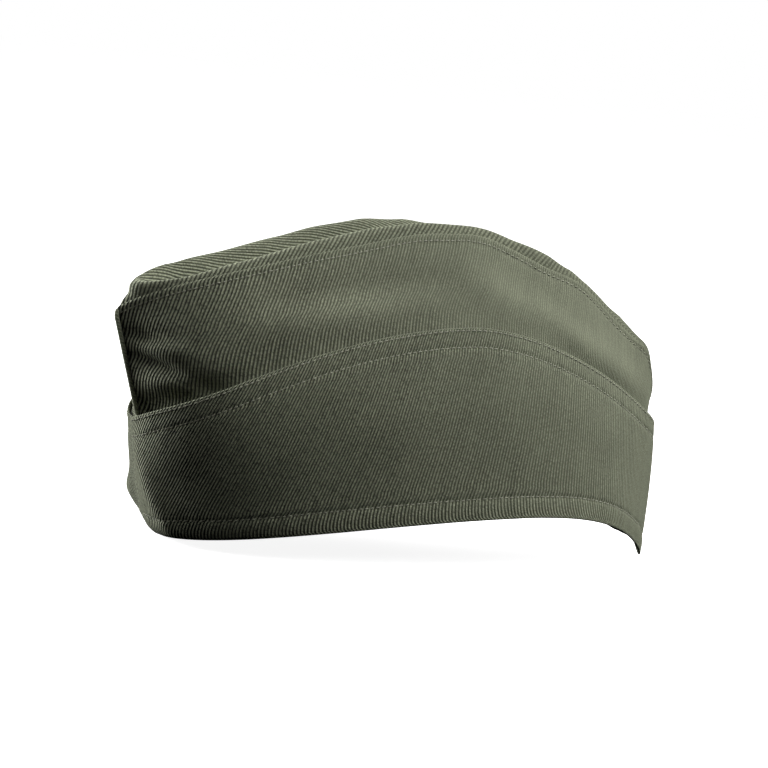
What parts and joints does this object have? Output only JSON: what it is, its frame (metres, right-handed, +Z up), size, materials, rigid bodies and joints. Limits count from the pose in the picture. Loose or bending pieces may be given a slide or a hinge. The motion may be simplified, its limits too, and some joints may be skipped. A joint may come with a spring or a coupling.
{
  "type": "side cap",
  "caption": "Soft side cap (garrison cap) in twill: two crown sides, a top folded into a centre valley, a turned-up stitched flap, lining and sweatband.",
  "frame": {"origin": "bottom centre of the cap's box, on the plane that the front and back ends of the hem rest on", "axes": "+X to the back of the cap, -X to its pointed front, +Y to the wearer's right, +Z up"},
  "size_m": [0.2765, 0.1126, 0.1551],
  "materials": {
    "shell_twill": "olive-grey wool-blend twill, matt, fine diagonal ribs",
    "seam_cord": "rolled edge of the same twill",
    "thread": "olive sewing thread",
    "stiffener": "undyed stiffening cloth",
    "lining": "smooth olive lining cloth",
    "sweatband": "dark brown thin leather, semi-matt",
    "label": "blank woven cotton label"
  },
  "bodies": {
    "left_half": {"crown_side_left": "shell_twill", "crown_top": "shell_twill", "front_seam_cord": "seam_cord", "flap_outer_left": "shell_twill", "flap_stiffener_left": "stiffener", "flap_facing_left": "shell_twill", "lining_left": "lining", "lining_top": "lining", "sweatband_left": "sweatband", "size_label": "label", "ridge_stitch_left": "thread", "flap_edge_stitch_left": "thread", "flap_second_stitch_left": "thread", "hem_stitch_left": "thread"},
    "right_half": {"crown_side_right": "shell_twill", "flap_outer_right": "shell_twill", "flap_stiffener_right": "stiffener", "flap_facing_right": "shell_twill", "lining_right": "lining", "sweatband_right": "sweatband", "ridge_stitch_right": "thread", "flap_edge_stitch_right": "thread", "flap_second_stitch_right": "thread", "hem_stitch_right": "thread"}
  },
  "joints": [
    {"name": "fold_flat", "type": "slide", "parent": "left_half", "child": "right_half", "axis": [0, -1, 0], "range_m": [0, 0.048], "deforming": ["crown_side_left", "crown_side_right", "crown_top", "front_seam_cord", "flap_outer_left", "flap_outer_right", "flap_stiffener_left", "flap_stiffener_right", "flap_facing_left", "flap_facing_right", "lining_left", "lining_right", "lining_top", "sweatband_left", "sweatband_right", "ridge_stitch_left", "ridge_stitch_right", "flap_edge_stitch_left", "flap_edge_stitch_right", "flap_second_stitch_left", "flap_second_stitch_right", "hem_stitch_left", "hem_stitch_right"]}
  ]
}
